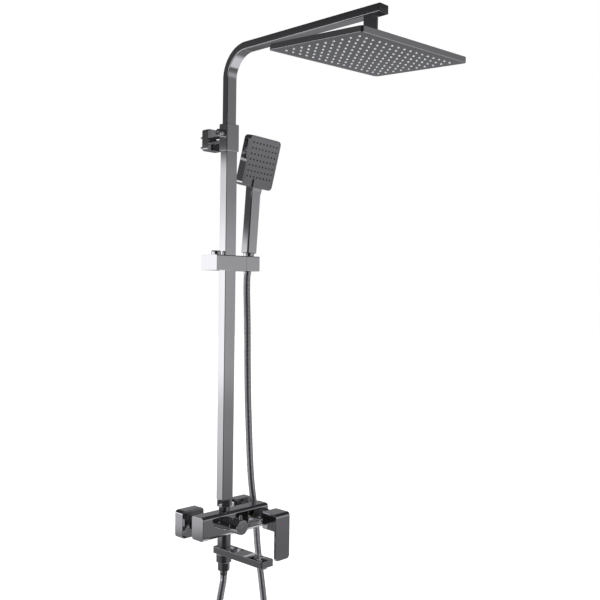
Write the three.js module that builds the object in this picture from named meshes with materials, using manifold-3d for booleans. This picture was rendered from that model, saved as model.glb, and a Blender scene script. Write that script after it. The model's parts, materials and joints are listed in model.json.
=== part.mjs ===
// Wall-hung rainfall shower column: bath mixer, telescopic riser, rain head,
// sliding hand shower, swivel spout and flexible hose.
// Millimetres, +Z up, +Y into the wall. The origin is on the wall plane, midway
// between the two water inlets.
import * as THREE from 'three';
import { mergeVertices } from 'three/addons/utils/BufferGeometryUtils.js';
import Module from 'manifold-3d';

const wasm = await Module();
wasm.setup();

// ---- driving dimensions -------------------------------------------------
const GAP = 0.3;                 // clearance kept between touching pieces
const INLET_SPACING = 150;       // centre to centre of the two wall inlets
const ROUND = 24;                // sides of a large round piece
const SMALL_ROUND = 16;          // sides of a small round piece

const FLANGE_SIZE = 60, FLANGE_DEPTH = 26, FLANGE_CORNER = 7;
const COVER_WALL = 2, COVER_EDGE = 1.5;   // the open-backed covers on the wall
const UNION_R = 12.4, UNION_BORE_R = 7, TAIL_R = 10.4, TAIL_LENGTH = 16;
const UNION_NUT_FLATS = 28, UNION_NUT_LENGTH = 16;

const BODY_LENGTH = 194, BODY_DEPTH = 38, BODY_HEIGHT = 52, BODY_CORNER = 7, BODY_EDGE = 1.5;
const BODY_BACK = 47.3;          // wall to the back of the mixer body

const COLUMN_X = -20, COLUMN_Y = -66.5;
const UPPER_WIDTH = 26.4, UPPER_DEPTH = 16.4, UPPER_WALL = 1.6, TUBE_CORNER = 1.8;
const LOWER_WALL = 2, LOWER_CORNER = 2;
const SLIDE_CLEARANCE = 0.3;     // between the two riser tubes, each side
const NECK_R = 12.5, NECK_HEIGHT = 10, RISER_NUT_FLATS = 29, RISER_NUT_HEIGHT = 15.5;
const PLUG_HEIGHT = 14, SPIGOT_R = 8;
const LOWER_TOP = 838, ARM_TOP = 1038, ARM_REACH = 417, BEND_R = 61, INSERTED = 190;
const CAP_THICKNESS = 2;

const COLLAR_WALL = 2.4, COLLAR_BOTTOM = 814, COLLAR_TOP = 872, COLLAR_CORNER = 3;
const LOCK_R = 8, LOCK_LENGTH = 15, LOCK_SHANK_R = 3, LOCK_ABOVE_TUBE = 13;
const BRACKET_WIDTH = 42, BRACKET_HEIGHT = 47, BRACKET_CORNER = 5, BRACKET_DEPTH = 20, STEM_R = 8;
const PLATE_SIZE = 32, PLATE_THICKNESS = 3, SCREW_R = 2.3, SCREW_HEAD_R = 4, SCREW_SPREAD = 22;
const SCREW_LENGTH = 34;

const CARTRIDGE_X = 78, CARTRIDGE_R = 17.3, CARTRIDGE_LENGTH = 34, BONNET_R = 19;
const BONNET_LENGTH = 9, DOME_LENGTH = 8, DOME_END_R = 12.5, BONNET_WALL = 1.4;
const TURRET_R = 10, TURRET_BORE_R = 7.6, TURRET_LENGTH = 5;
const SPINDLE_SIZE = 7, SPINDLE_LENGTH = 33;
const LEVER_WIDTH = 43, LEVER_BACK = -108, LEVER_FRONT = -152, LEVER_TOP = 18;
const LEVER_HUB_BOTTOM = -20, LEVER_BOTTOM = -86, LEVER_THICKNESS = 6.5, LEVER_BEND_R = 9;
const LEVER_EDGE = 1.2, GRUB_R = 2.5;

const DIVERTER_R = 16.5, DIVERTER_SLEEVE_R = 14.5, DIVERTER_SLEEVE_LENGTH = 14.7;
const DIVERTER_FRONT = -126, DIVERTER_SPINDLE_R = 3.6, PIN_R = 3.6, PIN_LENGTH = 14, PIN_Y = -119;
const DIVERTER_CORE_R = 12, DIVERTER_CORE_LENGTH = 28;

const SPOUT_WIDTH = 35, SPOUT_TOP = -53.4, SPOUT_THICKNESS = 14.8, SPOUT_FRONT = -204;
const SPOUT_EDGE = 0.8, SPOUT_CORNER = 3, PILLAR_R = 14.7, PILLAR_NECK_R = 11;
const AERATOR_R = 9, AERATOR_INSET = 15, AERATOR_DROP = 5;
const OUTLET_COLLAR_R = 16.7, OUTLET_COLLAR_HEIGHT = 18.5, OUTLET_R = 9.3;
const HOSE_NUT_FLATS = 23, HOSE_NUT_HEIGHT = 19;
const HOSE_R = 7.5, FERRULE_R = 8.2, FERRULE_LENGTH = 10;

const SLIDER_LEFT = -68.5, SLIDER_RIGHT = 58.5, HOLDER_LEFT = 19, SLIDER_Z = 571, SLIDER_HEIGHT = 33;
const SLIDER_FRONT = -86.5, SLIDER_BACK = -35.5, SLIDER_CORNER = 2;
const BUTTON_X = -51, BUTTON_Y = -64, BUTTON_R = 10.5, BUTTON_PROUD = 9.5, BUTTON_SEAT = 12;
const PIVOT_R = 5, PIVOT_LENGTH = 17;

const SEAT_X = 40, SEAT_Y = -68;          // centre of the cone seat in the holder
const SEAT_LEAN = 4.5, HAND_TURN = -6;   // degrees
const CONE_BOTTOM_R = 9.5, CONE_TOP_R = 12.6, CONE_BOTTOM = -14, CONE_TOP = 24;
const HANDLE_WIDTH = 26, HANDLE_DEPTH = 26, HANDLE_CORNER = 4, HANDLE_BORE_R = 6.5;
const HAND_WIDTH = 84, HAND_HEIGHT = 112, HAND_DEPTH = 25, HAND_CORNER = 9, HAND_WALL = 3;
const HAND_HEAD_Z = 227, HAND_HEAD_Y = -12, HAND_HEAD_TILT = 13.5;
const TONGUE_ABOVE = 20, TONGUE_BELOW = 14, TONGUE_PROUD = 3.5;   // where the handle laps over the face
const FACE_THICKNESS = 2.2, MAT_THICKNESS = 2;

const HEAD_WIDTH = 314, HEAD_DEPTH = 220, HEAD_THICKNESS = 11, HEAD_CORNER = 8, HEAD_WALL = 2;
const HEAD_REACH = 389;          // riser axis to the centre of the rain head
const BALL_Z = 976, BALL_R = 11, BALL_NECK_R = 5.5;
const HEAD_PITCH = 2.9, HEAD_ROLL = -2.3;   // degrees the rain head hangs off level
const BALL_NUT_FLATS = 25, BALL_NUT_BOTTOM = 996, BALL_SEAT_WALL = 1.4;
const SOCKET_WALL = 4, BOSS_HEIGHT = 4, LIP_CLEARANCE = 1;   // the cup round the ball and the cone under it
const BALL_SEAT_FROM = 42, BALL_SEAT_TO = 80;   // degrees up from the bottom of the ball
const CENTRE_SCREW_R = 4;

// ---- helpers ------------------------------------------------------------
const rad = THREE.MathUtils.degToRad;
const steel = { metalness: 1, roughness: 0.08 };
const finishes = {
  chrome: new THREE.MeshStandardMaterial({ color: 0xb9bcc2, ...steel }),
  face: new THREE.MeshStandardMaterial({ color: 0x8f9298, metalness: 0.8, roughness: 0.25 }),
  brass: new THREE.MeshStandardMaterial({ color: 0xb08d4f, metalness: 1, roughness: 0.35 }),
  zinc: new THREE.MeshStandardMaterial({ color: 0x9a9ca0, metalness: 0.9, roughness: 0.4 }),
  plastic: new THREE.MeshStandardMaterial({ color: 0xd9d7cf, metalness: 0, roughness: 0.5 }),
  rubber: new THREE.MeshStandardMaterial({ color: 0x2a2a2c, metalness: 0, roughness: 0.8 }),
};

function weld(geometry) {
  const bare = geometry.clone();
  bare.deleteAttribute('normal');
  bare.deleteAttribute('uv');
  const merged = mergeVertices(bare, 1e-4);
  const index = merged.index.array;
  const kept = [];
  for (let i = 0; i < index.length; i += 3) {
    const [a, b, c] = index.slice(i, i + 3);
    if (a !== b && b !== c && c !== a) kept.push(a, b, c);
  }
  merged.setIndex(kept);
  return merged;
}

function solid(geometry) {
  const welded = weld(geometry);
  const vertProperties = new Float32Array(welded.attributes.position.array);
  const triVerts = new Uint32Array(welded.index.array);
  return new wasm.Manifold(new wasm.Mesh({ numProp: 3, vertProperties, triVerts }));
}

function fromSolid(manifold) {
  const mesh = manifold.getMesh();
  const geometry = new THREE.BufferGeometry();
  geometry.setAttribute('position', new THREE.BufferAttribute(new Float32Array(mesh.vertProperties), 3));
  geometry.setIndex(new THREE.BufferAttribute(new Uint32Array(mesh.triVerts), 1));
  return geometry;
}

function cut(geometry, ...tools) {
  return fromSolid(tools.reduce((left, tool) => left.subtract(solid(tool)), solid(geometry)));
}

function join(geometry, ...others) {
  return fromSolid(others.reduce((whole, other) => whole.add(solid(other)), solid(geometry)));
}

// A rectangle with round corners, centred on the origin.
function rounded(width, height, corner) {
  const x = width / 2, y = height / 2, shape = new THREE.Shape();
  shape.moveTo(-x + corner, -y);
  shape.lineTo(x - corner, -y);
  shape.absarc(x - corner, -y + corner, corner, -Math.PI / 2, 0);
  shape.lineTo(x, y - corner);
  shape.absarc(x - corner, y - corner, corner, 0, Math.PI / 2);
  shape.lineTo(-x + corner, y);
  shape.absarc(-x + corner, y - corner, corner, Math.PI / 2, Math.PI);
  shape.lineTo(-x, -y + corner);
  shape.absarc(-x + corner, -y + corner, corner, Math.PI, 1.5 * Math.PI);
  return shape;
}

// A prism along +Z from z = 0; an edge rounds both ends without making it longer or wider.
function prism(shape, length, edge = 0, curveSegments = 3) {
  const geometry = new THREE.ExtrudeGeometry(shape, {
    depth: length - 2 * edge, steps: 1, curveSegments, bevelEnabled: edge > 0,
    bevelSize: edge, bevelThickness: edge, bevelOffset: -edge, bevelSegments: 1,
  });
  return geometry.translate(0, 0, edge);
}

// Turned pieces: points are (radius, height), anticlockwise; the axis is Z.
function turned(points, sides = ROUND) {
  const profile = points.map(([r, h]) => new THREE.Vector2(r, h));
  return new THREE.LatheGeometry(profile, sides).rotateX(Math.PI / 2);
}

const rod = (r, low, high, sides = ROUND) =>
  turned([[0, low], [r, low], [r, high], [0, high]], sides);
const ring = (outer, inner, low, high, sides = ROUND) =>
  turned([[inner, low], [outer, low], [outer, high], [inner, high], [inner, low]], sides);

// An open-backed cover on the wall: flat at z = 0, its front edges rounded, a hole for what passes through.
function cover(width, height, corner, depth, edge, holeRadius) {
  const outer = prism(rounded(width, height, corner), depth + edge, edge, 4).translate(0, 0, -edge);
  const behind = box(-width, width, -height, height, -2 * edge, 0);
  const inside = rounded(width - 2 * COVER_WALL, height - 2 * COVER_WALL, corner - COVER_WALL);
  return cut(outer, behind, prism(inside, depth).translate(0, 0, -COVER_WALL),
    rod(holeRadius, 0, depth + 1));
}

function hexagon(flats, low, high) {
  const nut = new THREE.CylinderGeometry(flats / Math.sqrt(3), flats / Math.sqrt(3), high - low, 6);
  return nut.rotateX(Math.PI / 2).translate(0, 0, (low + high) / 2);
}

// Stand a piece made along +Z out from the wall, along -Y, or lay it along +X.
const outward = geometry => geometry.rotateX(Math.PI / 2);
const sideways = geometry => geometry.applyMatrix4(new THREE.Matrix4().makeBasis(
  new THREE.Vector3(0, 1, 0), new THREE.Vector3(0, 0, 1), new THREE.Vector3(1, 0, 0)));
const box = (x0, x1, y0, y1, z0, z1) => new THREE.BoxGeometry(x1 - x0, y1 - y0, z1 - z0)
  .translate((x0 + x1) / 2, (y0 + y1) / 2, (z0 + z1) / 2);

// A route whose stations are exactly the given points, for sweeps that turn sharply or not at all.
class Stations extends THREE.Curve {
  constructor(points, tangents) {
    super();
    this.points = points;
    this.tangents = tangents;
  }

  station(u) {
    return Math.round(u * (this.points.length - 1));
  }

  getPointAt(u) {
    return this.points[this.station(u)].clone();
  }

  getTangentAt(u) {
    return this.tangents[this.station(u)].clone();
  }
}

const group = new THREE.Group();

function add(name, geometry, finish, parent = group) {
  const mesh = new THREE.Mesh(geometry, finishes[finish]);
  mesh.name = name;
  parent.add(mesh);
  return mesh;
}

// ---- wall connections ---------------------------------------------------
const bodyFront = -(BODY_BACK + BODY_DEPTH), bodyMiddle = -(BODY_BACK + BODY_DEPTH / 2);
const nutFront = BODY_BACK - GAP, nutBack = nutFront - UNION_NUT_LENGTH;

function addInlet(side, x) {
  const place = geometry => outward(geometry).translate(x, 0, 0);
  add(`wall_flange_${side}`, place(cover(FLANGE_SIZE, FLANGE_SIZE, FLANGE_CORNER, FLANGE_DEPTH, COVER_EDGE,
    UNION_R + GAP)), 'chrome');

  const unionEnd = nutFront - 3;
  const union = turned([[UNION_BORE_R, -TAIL_LENGTH], [TAIL_R, -TAIL_LENGTH], [TAIL_R, 1],
    [UNION_R, 1], [UNION_R, unionEnd], [UNION_BORE_R, unionEnd], [UNION_BORE_R, -TAIL_LENGTH]]);
  add(`wall_union_${side}`, place(union), 'chrome');
  add(`inlet_washer_${side}`, place(ring(UNION_R, UNION_BORE_R, unionEnd + GAP, nutFront, 24)), 'rubber');
  const nut = hexagon(UNION_NUT_FLATS, nutBack, nutFront);
  add(`union_nut_${side}`, place(cut(nut, rod(UNION_R + GAP, nutBack - 1, nutFront + 1))), 'chrome');
}
addInlet('left', -INLET_SPACING / 2);
addInlet('right', INLET_SPACING / 2);

// ---- mixer body ---------------------------------------------------------
const bodyTop = BODY_HEIGHT / 2, bodyBottom = -BODY_HEIGHT / 2;
const pillarBottom = bodyBottom - GAP;
const bar = sideways(prism(rounded(BODY_DEPTH, BODY_HEIGHT, BODY_CORNER), BODY_LENGTH, BODY_EDGE, 4))
  .translate(-BODY_LENGTH / 2, bodyMiddle, 0);
const cartridgeBore = outward(rod(CARTRIDGE_R + GAP, -bodyFront - CARTRIDGE_LENGTH + 5, -bodyFront + 1))
  .translate(CARTRIDGE_X, 0, 0);
const diverterBore = outward(rod(DIVERTER_CORE_R + GAP, -bodyFront - DIVERTER_CORE_LENGTH, -bodyFront + 1))
  .translate(COLUMN_X, 0, 0);
const inletBores = [-1, 1].map(side => outward(rod(UNION_BORE_R, BODY_BACK - 1, BODY_BACK + 15))
  .translate(side * INLET_SPACING / 2, 0, 0));
const outletBores = [[0, bodyTop + 1], [bodyBottom - 1, 0]].map(([low, high]) =>
  rod(5, low, high, SMALL_ROUND).translate(COLUMN_X, COLUMN_Y - 1, 0));
add('mixer_body', cut(bar, cartridgeBore, diverterBore, ...inletBores, ...outletBores), 'chrome');

// ---- lever and its cartridge --------------------------------------------
const front = -bodyFront;        // distance from the wall to the front of the body
const atCartridge = geometry => outward(geometry).translate(CARTRIDGE_X, 0, 0);
const coreFront = front + 4.5, domeStart = front + BONNET_LENGTH, domeEnd = domeStart + DOME_LENGTH;
add('mixing_cartridge', atCartridge(rod(CARTRIDGE_R, front - CARTRIDGE_LENGTH + 5 + GAP, coreFront)), 'plastic');
add('cartridge_nut', atCartridge(ring(CARTRIDGE_R, TURRET_BORE_R, coreFront + GAP, domeStart - GAP)), 'brass');
add('cartridge_bonnet', atCartridge(turned([[CARTRIDGE_R + GAP, front + GAP], [BONNET_R, front + GAP],
  [BONNET_R, domeStart], [DOME_END_R, domeEnd], [DOME_END_R - BONNET_WALL, domeEnd],
  [BONNET_R - BONNET_WALL, domeStart], [CARTRIDGE_R + GAP, front + GAP]])), 'chrome');
add('cartridge_turret', atCartridge(ring(TURRET_R, TURRET_BORE_R, domeStart, domeStart + TURRET_LENGTH, 24)),
  'brass');

const spindleStart = domeStart + 1;
const spindle = prism(rounded(SPINDLE_SIZE, SPINDLE_SIZE, 1), SPINDLE_LENGTH, 0, 2);
add('cartridge_spindle', atCartridge(spindle.translate(0, 0, spindleStart)), 'brass');

const leverSide = new THREE.Shape();
leverSide.moveTo(LEVER_BACK, LEVER_HUB_BOTTOM);
leverSide.lineTo(LEVER_FRONT + LEVER_THICKNESS, LEVER_HUB_BOTTOM);
leverSide.lineTo(LEVER_FRONT + LEVER_THICKNESS, LEVER_BOTTOM);
leverSide.lineTo(LEVER_FRONT, LEVER_BOTTOM);
leverSide.lineTo(LEVER_FRONT, LEVER_TOP - LEVER_BEND_R);
leverSide.absarc(LEVER_FRONT + LEVER_BEND_R, LEVER_TOP - LEVER_BEND_R, LEVER_BEND_R,
  Math.PI, Math.PI / 2, true);
leverSide.lineTo(LEVER_BACK, LEVER_TOP);
leverSide.closePath();
const leverBlank = sideways(prism(leverSide, LEVER_WIDTH, 0, 5))
  .translate(CARTRIDGE_X - LEVER_WIDTH / 2, 0, 0);
const leverShape = solid(leverBlank).intersect(solid(outward(prism(
  rounded(LEVER_WIDTH, LEVER_TOP - LEVER_BOTTOM, LEVER_EDGE * 4), -LEVER_FRONT + 1, 0, 5))
  .translate(CARTRIDGE_X, 0, (LEVER_TOP + LEVER_BOTTOM) / 2)));
const spindleHole = box(CARTRIDGE_X - SPINDLE_SIZE / 2 - GAP, CARTRIDGE_X + SPINDLE_SIZE / 2 + GAP,
  -(spindleStart + SPINDLE_LENGTH + 1), LEVER_BACK + 1, -SPINDLE_SIZE / 2 - GAP, SPINDLE_SIZE / 2 + GAP);
const grubY = LEVER_BACK - 12;
const grubHole = rod(GRUB_R + GAP, LEVER_HUB_BOTTOM - 1, 0, SMALL_ROUND).translate(CARTRIDGE_X, grubY, 0);
add('lever_handle', cut(fromSolid(leverShape), spindleHole, grubHole), 'chrome');
const grubTop = -SPINDLE_SIZE / 2 - GAP;
add('lever_grub_screw', rod(GRUB_R, LEVER_HUB_BOTTOM + 6, grubTop, SMALL_ROUND)
  .translate(CARTRIDGE_X, grubY, 0), 'zinc');

// ---- diverter -----------------------------------------------------------
const atDiverter = geometry => outward(geometry).translate(COLUMN_X, 0, 0);
const sleeveEnd = front + DIVERTER_SLEEVE_LENGTH, knobFront = -DIVERTER_FRONT;
add('diverter_cartridge', atDiverter(rod(DIVERTER_CORE_R, front - DIVERTER_CORE_LENGTH + GAP, front + 3)),
  'brass');
add('diverter_sleeve', atDiverter(ring(DIVERTER_SLEEVE_R, DIVERTER_CORE_R + GAP, front + GAP, sleeveEnd)),
  'chrome');
const spindleEnd = knobFront - 8;
add('diverter_spindle', atDiverter(rod(DIVERTER_SPINDLE_R, front + 3 + GAP, spindleEnd, SMALL_ROUND)), 'brass');
const knobBlank = atDiverter(turned([[0, sleeveEnd + GAP], [DIVERTER_R, sleeveEnd + GAP],
  [DIVERTER_R, knobFront - 1.5], [DIVERTER_R - 1.5, knobFront], [0, knobFront]]));
const knobBore = atDiverter(rod(DIVERTER_SPINDLE_R + GAP, sleeveEnd, spindleEnd + 1, SMALL_ROUND));
const pinSeat = DIVERTER_R - 5;
const pinHole = rod(PIN_R + GAP, pinSeat, DIVERTER_R + 1, SMALL_ROUND).translate(COLUMN_X, PIN_Y, 0);
add('diverter_knob', cut(knobBlank, knobBore, pinHole), 'chrome');
const pinTop = DIVERTER_R + PIN_LENGTH - 5;
add('diverter_pin', turned([[0, pinSeat + GAP], [PIN_R, pinSeat + GAP], [PIN_R, pinTop - 1.5],
  [PIN_R - 1.5, pinTop], [0, pinTop]], SMALL_ROUND).translate(COLUMN_X, PIN_Y, 0), 'chrome');

// ---- spout, pillar and hose outlet --------------------------------------
const atColumn = geometry => geometry.translate(COLUMN_X, COLUMN_Y, 0);
const spoutBottom = SPOUT_TOP - SPOUT_THICKNESS;
const outletTop = spoutBottom - GAP, outletBottom = outletTop - OUTLET_COLLAR_HEIGHT;
const nutTop = outletBottom - GAP, nutBottom = nutTop - HOSE_NUT_HEIGHT;
const nippleEnd = nutTop - HOSE_NUT_HEIGHT / 2;
add('spout_pillar', atColumn(turned([[6, nippleEnd], [OUTLET_R, nippleEnd], [OUTLET_R, outletTop],
  [PILLAR_NECK_R, outletTop], [PILLAR_NECK_R, SPOUT_TOP + GAP], [PILLAR_R, SPOUT_TOP + GAP],
  [PILLAR_R, pillarBottom], [6, pillarBottom], [6, nippleEnd]])), 'chrome');

const reach = COLUMN_Y - SPOUT_FRONT, half = SPOUT_WIDTH / 2;
const spoutLength = reach + half;
const spoutPlan = rounded(SPOUT_WIDTH, spoutLength, SPOUT_CORNER);
const aeratorY = -reach + AERATOR_INSET, aeratorTop = SPOUT_THICKNESS / 2 + 2;
const spout = cut(prism(spoutPlan, SPOUT_THICKNESS, SPOUT_EDGE).translate(0, half - spoutLength / 2, 0),
  rod(PILLAR_NECK_R + GAP, -1, SPOUT_THICKNESS + 1),
  rod(AERATOR_R + GAP, -1, aeratorTop).translate(0, aeratorY, 0),
  box(-8, 8, aeratorY, -PILLAR_NECK_R + 2, SPOUT_THICKNESS / 2 - 3, SPOUT_THICKNESS / 2 + 3));
add('spout', spout.translate(COLUMN_X, COLUMN_Y, spoutBottom), 'chrome');
add('spout_aerator', turned([[6, -AERATOR_DROP], [AERATOR_R, -AERATOR_DROP], [AERATOR_R, aeratorTop - 2],
  [0, aeratorTop - 2], [0, 1], [6, 1], [6, -AERATOR_DROP]], 24)
  .translate(COLUMN_X, COLUMN_Y + aeratorY, spoutBottom), 'chrome');
add('outlet_collar', atColumn(ring(OUTLET_COLLAR_R, OUTLET_R + GAP, outletBottom, outletTop)), 'chrome');
const hoseNut = cut(hexagon(HOSE_NUT_FLATS, nutBottom, nutTop),
  rod(OUTLET_R + GAP, nippleEnd - 4, nutTop + 1), rod(FERRULE_R + GAP, nutBottom - 1, nippleEnd - 3));
add('hose_nut', atColumn(hoseNut), 'chrome');
const washerTop = nippleEnd - GAP;
add('hose_washer', atColumn(ring(OUTLET_R, 4.5, washerTop - 2, washerTop, 24)), 'rubber');
const ferruleTop = washerTop - 2 - GAP;
const lowerFerruleEnd = nutBottom - FERRULE_LENGTH;
add('hose_ferrule_lower', atColumn(rod(FERRULE_R, lowerFerruleEnd, ferruleTop, 24)), 'chrome');

// ---- riser --------------------------------------------------------------
const lowerInnerWidth = UPPER_WIDTH + 2 * SLIDE_CLEARANCE, lowerInnerDepth = UPPER_DEPTH + 2 * SLIDE_CLEARANCE;
const lowerWidth = lowerInnerWidth + 2 * LOWER_WALL, lowerDepth = lowerInnerDepth + 2 * LOWER_WALL;
const neckTop = bodyTop + NECK_HEIGHT, riserNutTop = neckTop + RISER_NUT_HEIGHT, tubeBase = riserNutTop + GAP;
add('riser_neck', atColumn(ring(NECK_R, 6, bodyTop + GAP, neckTop)), 'chrome');
add('riser_nut', atColumn(cut(hexagon(RISER_NUT_FLATS, neckTop + GAP, riserNutTop),
  rod(SPIGOT_R + GAP, neckTop, riserNutTop + 1, 24))), 'chrome');
const plug = join(prism(rounded(UPPER_WIDTH, UPPER_DEPTH, TUBE_CORNER), PLUG_HEIGHT).translate(0, 0, tubeBase),
  rod(SPIGOT_R, neckTop + 2 * GAP, tubeBase + 1, 24));
add('riser_plug', atColumn(cut(plug, rod(5, 0, tubeBase + PLUG_HEIGHT + 1, SMALL_ROUND))), 'brass');
const tubeShell = (width, depth, corner, wall, length) => cut(
  prism(rounded(width, depth, corner), length),
  prism(rounded(width - 2 * wall, depth - 2 * wall, Math.max(corner - wall, 0.5)), length + 2)
    .translate(0, 0, -1));
add('riser_tube', atColumn(tubeShell(lowerWidth, lowerDepth, LOWER_CORNER, LOWER_WALL, LOWER_TOP - tubeBase)
  .translate(0, 0, tubeBase)), 'chrome');

// The upper tube stands in the lower one, bends forward and runs level to its end.
const armAxis = ARM_TOP - UPPER_DEPTH / 2, bendStart = armAxis - BEND_R, BEND_STEPS = 10;
const up = new THREE.Vector3(0, 0, 1), forward = new THREE.Vector3(0, -1, 0);
const stations = [new THREE.Vector3(0, 0, LOWER_TOP - INSERTED)], tangents = [up];
for (let step = 0; step <= BEND_STEPS; step += 1) {
  const angle = (step / BEND_STEPS) * Math.PI / 2;
  stations.push(new THREE.Vector3(0, -BEND_R * (1 - Math.cos(angle)), bendStart + BEND_R * Math.sin(angle)));
  tangents.push(new THREE.Vector3(0, -Math.sin(angle), Math.cos(angle)));
}
stations.push(new THREE.Vector3(0, -ARM_REACH, armAxis));
tangents.push(forward);
function sweep(shape, points, directions) {
  const extrudePath = new Stations(points, directions);
  return new THREE.ExtrudeGeometry(shape, { extrudePath, steps: points.length - 1, curveSegments: 2 });
}
const longer = [stations[0].clone().addScaledVector(up, -1), ...stations.slice(1, -1),
  stations.at(-1).clone().addScaledVector(forward, 1)];
const armTube = cut(sweep(rounded(UPPER_DEPTH, UPPER_WIDTH, TUBE_CORNER), stations, tangents),
  sweep(rounded(UPPER_DEPTH - 2 * UPPER_WALL, UPPER_WIDTH - 2 * UPPER_WALL, TUBE_CORNER - UPPER_WALL),
    longer, tangents),
  rod(BALL_NECK_R + GAP, armAxis - UPPER_DEPTH, armAxis, SMALL_ROUND).translate(0, -HEAD_REACH, 0));
add('riser_arm', atColumn(armTube), 'chrome');
const capCore = prism(rounded(UPPER_WIDTH - 2 * UPPER_WALL - 2 * GAP, UPPER_DEPTH - 2 * UPPER_WALL - 2 * GAP, 1), 6);
const cap = join(prism(rounded(UPPER_WIDTH, UPPER_DEPTH, TUBE_CORNER), CAP_THICKNESS, 0.5, 3).translate(0, 0, 5),
  capCore);
add('arm_end_cap', atColumn(outward(cap).translate(0, -ARM_REACH + 5 - GAP, armAxis)), 'chrome');

// ---- upper wall bracket -------------------------------------------------
const collarWidth = lowerWidth + 2 * COLLAR_WALL + 2 * GAP, collarDepth = lowerDepth + 2 * COLLAR_WALL + 2 * GAP;
const collarZ = (COLLAR_BOTTOM + COLLAR_TOP) / 2, lockZ = LOWER_TOP + LOCK_ABOVE_TUBE;
const collarBack = COLUMN_Y + collarDepth / 2;
const collarBlank = prism(rounded(collarWidth, collarDepth, COLLAR_CORNER), COLLAR_TOP - COLLAR_BOTTOM, 1)
  .translate(0, 0, COLLAR_BOTTOM);
const lowerFit = prism(rounded(lowerWidth + 2 * GAP, lowerDepth + 2 * GAP, LOWER_CORNER),
  LOWER_TOP + GAP - COLLAR_BOTTOM + 1).translate(0, 0, COLLAR_BOTTOM - 1);
const upperFit = prism(rounded(lowerInnerWidth, lowerInnerDepth, TUBE_CORNER), COLLAR_TOP - COLLAR_BOTTOM)
  .translate(0, 0, COLLAR_BOTTOM + 1);
const lockHole = sideways(rod(LOCK_SHANK_R + GAP, -collarWidth, 0, SMALL_ROUND)).translate(0, 0, lockZ);
add('bracket_collar', atColumn(cut(collarBlank, lowerFit, upperFit, lockHole)), 'chrome');
const lockFace = -collarWidth / 2 - GAP;
add('bracket_lock_knob', atColumn(sideways(turned([[0, lockFace - LOCK_LENGTH],
  [LOCK_R - 1, lockFace - LOCK_LENGTH], [LOCK_R, lockFace - LOCK_LENGTH + 1], [LOCK_R, lockFace],
  [LOCK_SHANK_R, lockFace], [LOCK_SHANK_R, -UPPER_WIDTH / 2 - GAP], [0, -UPPER_WIDTH / 2 - GAP]], 24))
  .translate(0, 0, lockZ)), 'chrome');

const atBracket = geometry => outward(geometry).translate(COLUMN_X, 0, collarZ);
add('bracket_flange', atBracket(cover(BRACKET_WIDTH, BRACKET_HEIGHT, BRACKET_CORNER, BRACKET_DEPTH, COVER_EDGE,
  STEM_R + GAP)), 'chrome');
const screwHole = side => rod(SCREW_R + GAP, -1, PLATE_THICKNESS + 1, 12).translate(0, side * SCREW_SPREAD / 2, 0);
const plate = prism(rounded(PLATE_SIZE, PLATE_SIZE, 3), PLATE_THICKNESS);
add('bracket_plate', atBracket(cut(plate, screwHole(-1), screwHole(1))), 'zinc');
const stemStart = PLATE_THICKNESS + GAP, stemEnd = -collarBack - GAP;
add('bracket_stem', atBracket(cut(rod(STEM_R, stemStart, stemEnd, 24),
  ...[-1, 1].map(side => rod(SCREW_HEAD_R + GAP, 0, stemStart + 4, 12).translate(0, side * SCREW_SPREAD / 2, 0)))),
'chrome');
[['upper', 1], ['lower', -1]].forEach(([name, side]) => {
  add(`wall_screw_${name}`, atBracket(turned([[0, PLATE_THICKNESS - SCREW_LENGTH],
    [SCREW_R, PLATE_THICKNESS - SCREW_LENGTH + 4], [SCREW_R, PLATE_THICKNESS + GAP],
    [SCREW_HEAD_R, PLATE_THICKNESS + GAP], [SCREW_HEAD_R, PLATE_THICKNESS + 3], [0, PLATE_THICKNESS + 3]], 12)
    .translate(0, side * SCREW_SPREAD / 2, 0)), 'zinc');
});

// ---- slider and holder --------------------------------------------------
const sliderMiddle = (SLIDER_FRONT + SLIDER_BACK) / 2, sliderBottom = SLIDER_Z - SLIDER_HEIGHT / 2;
const sliderTop = SLIDER_Z + SLIDER_HEIGHT / 2, seam = HOLDER_LEFT - GAP;
const sliderBlock = (left, right) => sideways(prism(rounded(SLIDER_BACK - SLIDER_FRONT, SLIDER_HEIGHT,
  SLIDER_CORNER), right - left, 0.6)).translate(left, sliderMiddle, SLIDER_Z);
const columnHole = prism(rounded(lowerWidth + 2 * GAP, lowerDepth + 2 * GAP, LOWER_CORNER), SLIDER_HEIGHT + 2)
  .translate(COLUMN_X, COLUMN_Y, sliderBottom - 1);
const pivotMiddle = HOLDER_LEFT;
const pivotHole = sideways(rod(PIVOT_R + GAP, pivotMiddle - PIVOT_LENGTH / 2 - 1, pivotMiddle + PIVOT_LENGTH / 2 + 1,
  SMALL_ROUND)).translate(0, sliderMiddle, SLIDER_Z);
const buttonHole = rod(BUTTON_R + GAP, sliderTop - BUTTON_SEAT, sliderTop + 1, 24).translate(BUTTON_X, BUTTON_Y, 0);
add('slider_body', cut(sliderBlock(SLIDER_LEFT, seam), columnHole, pivotHole, buttonHole), 'chrome');
add('slider_button', turned([[0, sliderTop - BUTTON_SEAT + 4.5], [BUTTON_R, sliderTop - BUTTON_SEAT + 4.5],
  [BUTTON_R, sliderTop + BUTTON_PROUD - 1.5], [BUTTON_R - 1.5, sliderTop + BUTTON_PROUD],
  [0, sliderTop + BUTTON_PROUD]], 24).translate(BUTTON_X, BUTTON_Y, 0), 'chrome');
add('holder_pivot', sideways(rod(PIVOT_R, pivotMiddle - PIVOT_LENGTH / 2, pivotMiddle + PIVOT_LENGTH / 2,
  SMALL_ROUND)).translate(0, sliderMiddle, SLIDER_Z), 'zinc');

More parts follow.
